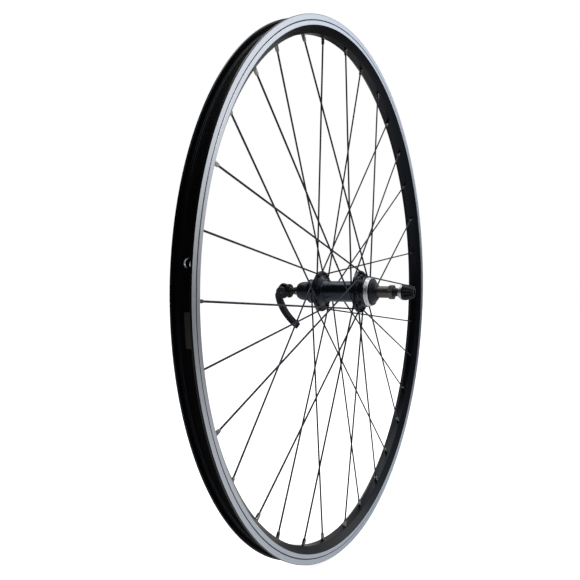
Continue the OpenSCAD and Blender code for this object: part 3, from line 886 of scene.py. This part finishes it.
def make_cam_pin():
    """Cross pin with chamfered ends."""
    half, chamfer, axis = (LEVER_W - 0.6) / 2, PIN_R - 0.5, 0.01
    profile = [(axis, -half), (chamfer, -half), (PIN_R, -half + 0.4),
               (PIN_R, half - 0.4), (chamfer, half), (axis, half)]
    sides = 40
    verts = []
    for i in range(sides):
        a = 2 * math.pi * i / sides
        verts += [in_lever(x, r * math.cos(a), r * math.sin(a)) for r, x in profile]
    pin = add_mesh("cam_pin_turned", verts, grid_faces(sides, len(profile), True, False))
    turn_outward(pin)
    return set_piece(pin, "skewer", LOOKS["axle"], ["cam_pin"])


def make_rod():
    """Skewer rod, plain along the axle and threaded where the nut runs, with the eye at its head."""
    end = reach("skewer_rod")[1]

    def radius(s, t):
        if s < ROD_THREAD_S:
            return ROD_R - 0.1
        lead = max(0.0, 0.5 - (end - s))
        return thread_radius(s, t, ROD_R, ROD_THREAD_DEPTH, ROD_THREAD_PITCH) - lead

    rows = [PIVOT_S + 3.4, ROD_THREAD_S - 0.1] + rows_between(ROD_THREAD_S, end, 0.1)
    rod = threaded("skewer_screw", rows, radius, 0.02, 28)
    eye = pin_cylinder("eye", 0, EYE_R, -2.5, 2.5)
    cut_out(eye, [pin_cylinder("eye_bore", 0, PIN_R + 0.02, -4, 4)])
    rod = join("skewer_rod_screw", [rod, eye])
    return set_piece(rod, "skewer", LOOKS["zinc"], ["skewer_rod"], 60)


def make_spring(name, cad_node, body, look, start, end, turns):
    """Conical spring of round wire from start to end, both (r, s), with its end coils laid flat."""
    (r0, s0), (r1, s1) = start, end
    count = int(turns * 36)
    points = []
    for i in range(count + 1):
        f = i / count
        rise = min(1.0, max(0.0, (f * turns - 0.5) / (turns - 1)))
        points.append(spot(r0 + (r1 - r0) * f, s0 + (s1 - s0) * rise, 360 * turns * f))
    wire = tube(name, points, SPRING_WIRE_R, 12)
    return set_piece(wire, body, LOOKS[look], [cad_node], 60)


def make_nut():
    """Skewer nut: a cone with grip flutes between a plain collar and a rounded nose."""
    s0, s1 = NUT_S, NUT_END_S

    def radius(s, t):
        f = min(1.0, max(0.0, (s - s0 - NUT_COLLAR) / (s1 - s0 - NUT_COLLAR)))
        body = NUT_R - NUT_TAPER * f ** 1.15
        body -= max(0.0, 0.5 - (s - s0)) * 0.8 + max(0.0, 0.9 - (s1 - s)) ** 2 * 0.9
        ridge = 0.5 + 0.5 * math.cos(math.radians(t * NUT_FLUTES))
        depth = min(1.0, max(0.0, (s - s0 - 1.6) / 1.2))
        return body - NUT_FLUTE_DEPTH * depth * (1 - min(1.0, ridge * 1.9))

    nut = threaded("nut_fluted", rows_between(s0, s1, 0.3), radius, ROD_R + 0.05, 192)
    return set_piece(nut, "nut", LOOKS["nut"], ["nut_body"], 50)


def make_cup():
    """The cup that holds the cam washer, with a rolled rim and room for the turning cam."""
    back, face = reach("lever_cup")
    floor = face - CUP_FLOOR_T
    outline = [(2.9, face, 0.1), (CUP_R, face, 0.45), (CUP_R, back, 0.5), (CUP_WELL_R, back, 0.3),
               (CUP_WELL_R, floor, 0.2), (2.9, floor, 0.1)]
    cup = lathe("cup_pressing", rounded(outline, 5), 96)
    cut_out(cup, [pin_cylinder("cam_room", -CAM_OFFSET, CAM_R + 0.8, -20, 20, 96)])
    return set_piece(cup, "cup", LOOKS["lever"], ["lever_cup"], 50)


# ------------------------------------------------------------------ stage
def make_camera():
    """The photograph's viewpoint, in metres in the row frame."""
    right = Vector((0.48927, -0.87201, 0.01501))
    up = Vector((0.0, 0.01721, 0.99985))
    ahead = Vector((0.87213, 0.48919, -0.00842))
    data = bpy.data.cameras.new("camera")
    data.sensor_width = 36
    data.lens = 35.519
    data.shift_x, data.shift_y = 0.00939, 0.01290
    data.clip_start, data.clip_end = 0.01, 50
    camera = bpy.data.objects.new("camera", data)
    turn = Matrix((right, up, -ahead)).transposed().to_4x4()
    camera.matrix_world = Matrix.Translation((-0.66274, -0.28639, -0.00258)) @ turn
    bpy.context.scene.collection.objects.link(camera)
    bpy.context.scene.camera = camera


def floor_material():
    """White paper that the camera sees glowing; its far part looks dim in reflections."""
    material, tree, shader = principled("floor_white", Roughness=0.9, Specular_IOR_Level=0.1)
    seen = node(tree, "LightPath").outputs["Is Camera Ray"]
    distance = node(tree, "VectorMath", {0: place(tree)}, operation="LENGTH").outputs["Value"]
    cloud = noise_value(tree, place(tree), 0.002, 2)
    near = ramp(tree, cloud, 0.3, 0.7, (0.93, 0.93, 0.93), (0.97, 0.97, 0.97))
    far = ramp(tree, distance, 700, 2200, 0.0, 1.0)
    reflected = mix(tree, far, near, (0.16, 0.16, 0.17))
    tree.links.new(mix(tree, seen, reflected, near), shader.inputs["Base Color"])
    shader.inputs["Emission Color"].default_value = (1, 1, 1, 1)
    tree.links.new(calc(tree, "MULTIPLY", seen, FLOOR_GLOW), shader.inputs["Emission Strength"])
    return material


def make_floor():
    z = -(RIM_R + FLOOR_GAP) * MM
    size = 12
    corners = [(-size, -size, z), (size, -size, z), (size, size, z), (-size, size, z)]
    floor = add_mesh("floor", corners, [(0, 1, 2, 3)])
    floor.data.materials.append(floor_material())


def make_light(name, place_m, target_m, size, power):
    data = bpy.data.lights.new(name, "AREA")
    data.shape = "RECTANGLE"
    data.size, data.size_y = size
    data.energy = power
    light = bpy.data.objects.new(name, data)
    light.location = place_m
    light.rotation_mode = "QUATERNION"
    light.rotation_quaternion = (Vector(target_m) - Vector(place_m)).to_track_quat("-Z", "Y")
    bpy.context.scene.collection.objects.link(light)


def make_world():
    """A white sweep on the far side and a dim room elsewhere; the camera itself sees white all round."""
    world = bpy.data.worlds.new("studio")
    bpy.context.scene.world = world
    world.use_nodes = True
    tree = world.node_tree
    background = tree.nodes["Background"]
    direction = node(tree, "TexCoord").outputs["Generated"]
    parts = node(tree, "SeparateXYZ", {0: direction})
    level = calc(tree, "ABSOLUTE", parts.outputs["Z"])
    band = ramp(tree, level, 0.06, 0.15, 0.20, 1.0)
    far = ramp(tree, parts.outputs["X"], -0.3, 0.75, ROOM_LEVEL, 1.0)
    ahead = ramp(tree, parts.outputs["Y"], -0.44, -0.32, 1.0, 0.50)
    values = {0: direction, 1: SOFT_BOX}
    facing = node(tree, "VectorMath", values, operation="DOT_PRODUCT").outputs["Value"]
    box = ramp(tree, facing, 0.965, 0.99, 0.0, SOFT_BOX_LEVEL)
    sweep = calc(tree, "MULTIPLY", calc(tree, "MULTIPLY", band, far), ahead)
    bright = calc(tree, "MULTIPLY", calc(tree, "ADD", sweep, box), SWEEP_LEVEL)
    seen = node(tree, "LightPath").outputs["Is Camera Ray"]
    tree.links.new(calc(tree, "MAXIMUM", bright, seen), background.inputs["Strength"])
    background.inputs["Color"].default_value = (1, 1, 1, 1)


make_camera()
make_world()
make_light("key", (-0.9, -1.0, 1.9), (0, 0, 0), (1.2, 1.2), 12)
make_light("top", (0.3, 0.3, 2.0), (0, 0, 0), (1.8, 1.8), 22)
make_floor()
paint_cad_nodes()

make_rim()
make_tape()
make_hub()
make_freewheel_thread()
make_dust_cap()
make_axle()
make_spacer()
make_seal()
make_boot()
make_lever()
make_cam_pin()
make_rod()
make_spring("spring_coil_left", "spring_left", "skewer", "axle", *SPRING_LEFT)
make_spring("spring_coil_drive", "spring_drive", "nut_spring", "spring", *SPRING_DRIVE)
make_nut()
make_cup()

bpy.context.scene.view_settings.view_transform = "Standard"
